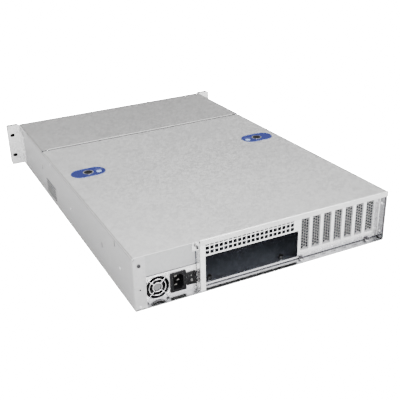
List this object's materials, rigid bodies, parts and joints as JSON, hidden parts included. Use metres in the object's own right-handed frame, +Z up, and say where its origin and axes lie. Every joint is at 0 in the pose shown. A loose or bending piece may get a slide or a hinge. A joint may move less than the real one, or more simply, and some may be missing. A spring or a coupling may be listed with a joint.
{
  "type": "empty rackmount server case",
  "caption": "Empty two-unit rackmount server case of folded zinc-coated steel with recessed rear panel, slot covers, power supply, rack ears and a latched lid.",
  "frame": {"origin": "centre of the underside of the case, midway between the front of the ear caps and the lid's rear lip", "axes": "+Z up, +Y towards the rear panel, +X towards the power supply side"},
  "size_m": [0.4826, 0.662, 0.0874],
  "materials": {
    "zinc_steel": "zinc-coated sheet, semi-gloss",
    "bright_steel": "bright plated",
    "black_steel": "black oxide",
    "blue_plastic": "semi-gloss moulded",
    "black_plastic": "fine matt moulded",
    "clear_plastic": "clear moulded lens"
  },
  "bodies": {
    "chassis": {"chassis_pan": "zinc_steel", "rear_panel": "zinc_steel", "psu_divider": "zinc_steel", "psu_blank_plate": "zinc_steel", "slot_cover_screws": "bright_steel", "front_panel": "zinc_steel", "front_cover": "zinc_steel", "rack_ear_left": "zinc_steel", "rack_ear_right": "zinc_steel", "rack_ear_screws": "bright_steel", "indicator_lenses": "clear_plastic", "psu_housing": "zinc_steel", "psu_fan_guard": "bright_steel", "psu_fan_screws": "black_steel", "power_inlet": "black_plastic", "inlet_pins": "bright_steel", "power_switch_frame": "black_plastic", "fan_wall": "zinc_steel", "drive_shelf": "zinc_steel", "board_standoffs": "bright_steel", "chassis_rivets": "bright_steel", "case_screws": "black_steel", "psu_fan_frame": "black_plastic", "slot_cover_1": "zinc_steel", "slot_cover_2": "zinc_steel", "slot_cover_3": "zinc_steel", "slot_cover_4": "zinc_steel", "slot_cover_5": "zinc_steel", "slot_cover_6": "zinc_steel", "slot_cover_7": "zinc_steel", "ear_cap_left": "black_plastic", "ear_cap_right": "black_plastic", "ear_cap_screws": "bright_steel", "fan_frame_1": "black_plastic", "fan_frame_2": "black_plastic", "fan_frame_3": "black_plastic"},
    "lid": {"top_lid": "zinc_steel", "latch_housing_left": "blue_plastic", "latch_housing_right": "blue_plastic", "latch_collars": "bright_steel"},
    "latch_push_left": {"latch_button_left": "black_plastic"},
    "latch_push_right": {"latch_button_right": "black_plastic"},
    "small_fan": {"psu_fan_rotor": "black_plastic"},
    "rocker": {"power_switch_rocker": "black_plastic"},
    "power_push": {"power_button": "black_plastic"},
    "reset_push": {"reset_button": "black_plastic"},
    "case_fan_1": {"fan_rotor_1": "black_plastic"},
    "case_fan_2": {"fan_rotor_2": "black_plastic"},
    "case_fan_3": {"fan_rotor_3": "black_plastic"}
  },
  "joints": [
    {"name": "lid_slide", "type": "slide", "parent": "chassis", "child": "lid", "axis": [0, 1, 0], "range_m": [0, 0.012]},
    {"name": "latch_left_push", "type": "slide", "parent": "lid", "child": "latch_push_left", "axis": [0, 0, -1], "range_m": [0, 0.003], "stiffness_N_per_m": 400},
    {"name": "latch_right_push", "type": "slide", "parent": "lid", "child": "latch_push_right", "axis": [0, 0, -1], "range_m": [0, 0.003], "stiffness_N_per_m": 400},
    {"name": "power_button_push", "type": "slide", "parent": "chassis", "child": "power_push", "axis": [0, 1, 0], "range_m": [0, 0.0015], "stiffness_N_per_m": 400},
    {"name": "reset_button_push", "type": "slide", "parent": "chassis", "child": "reset_push", "axis": [0, 1, 0], "range_m": [0, 0.0015], "stiffness_N_per_m": 400},
    {"name": "psu_fan_spin", "type": "hinge", "parent": "chassis", "child": "small_fan", "pos_m": [0.17535, 0.3052, 0.02145], "axis": [0, 1, 0], "continuous": true},
    {"name": "rocker_tip", "type": "hinge", "parent": "chassis", "child": "rocker", "pos_m": [0.1224, 0.313, 0.02145], "axis": [-1, 0, 0], "range_deg": [0, 18]},
    {"name": "case_fan_1_spin", "type": "hinge", "parent": "chassis", "child": "case_fan_1", "pos_m": [-0.118, -0.1164, 0.0415], "axis": [0, 1, 0], "continuous": true},
    {"name": "case_fan_2_spin", "type": "hinge", "parent": "chassis", "child": "case_fan_2", "pos_m": [0, -0.1164, 0.0415], "axis": [0, 1, 0], "continuous": true},
    {"name": "case_fan_3_spin", "type": "hinge", "parent": "chassis", "child": "case_fan_3", "pos_m": [0.118, -0.1164, 0.0415], "axis": [0, 1, 0], "continuous": true}
  ]
}
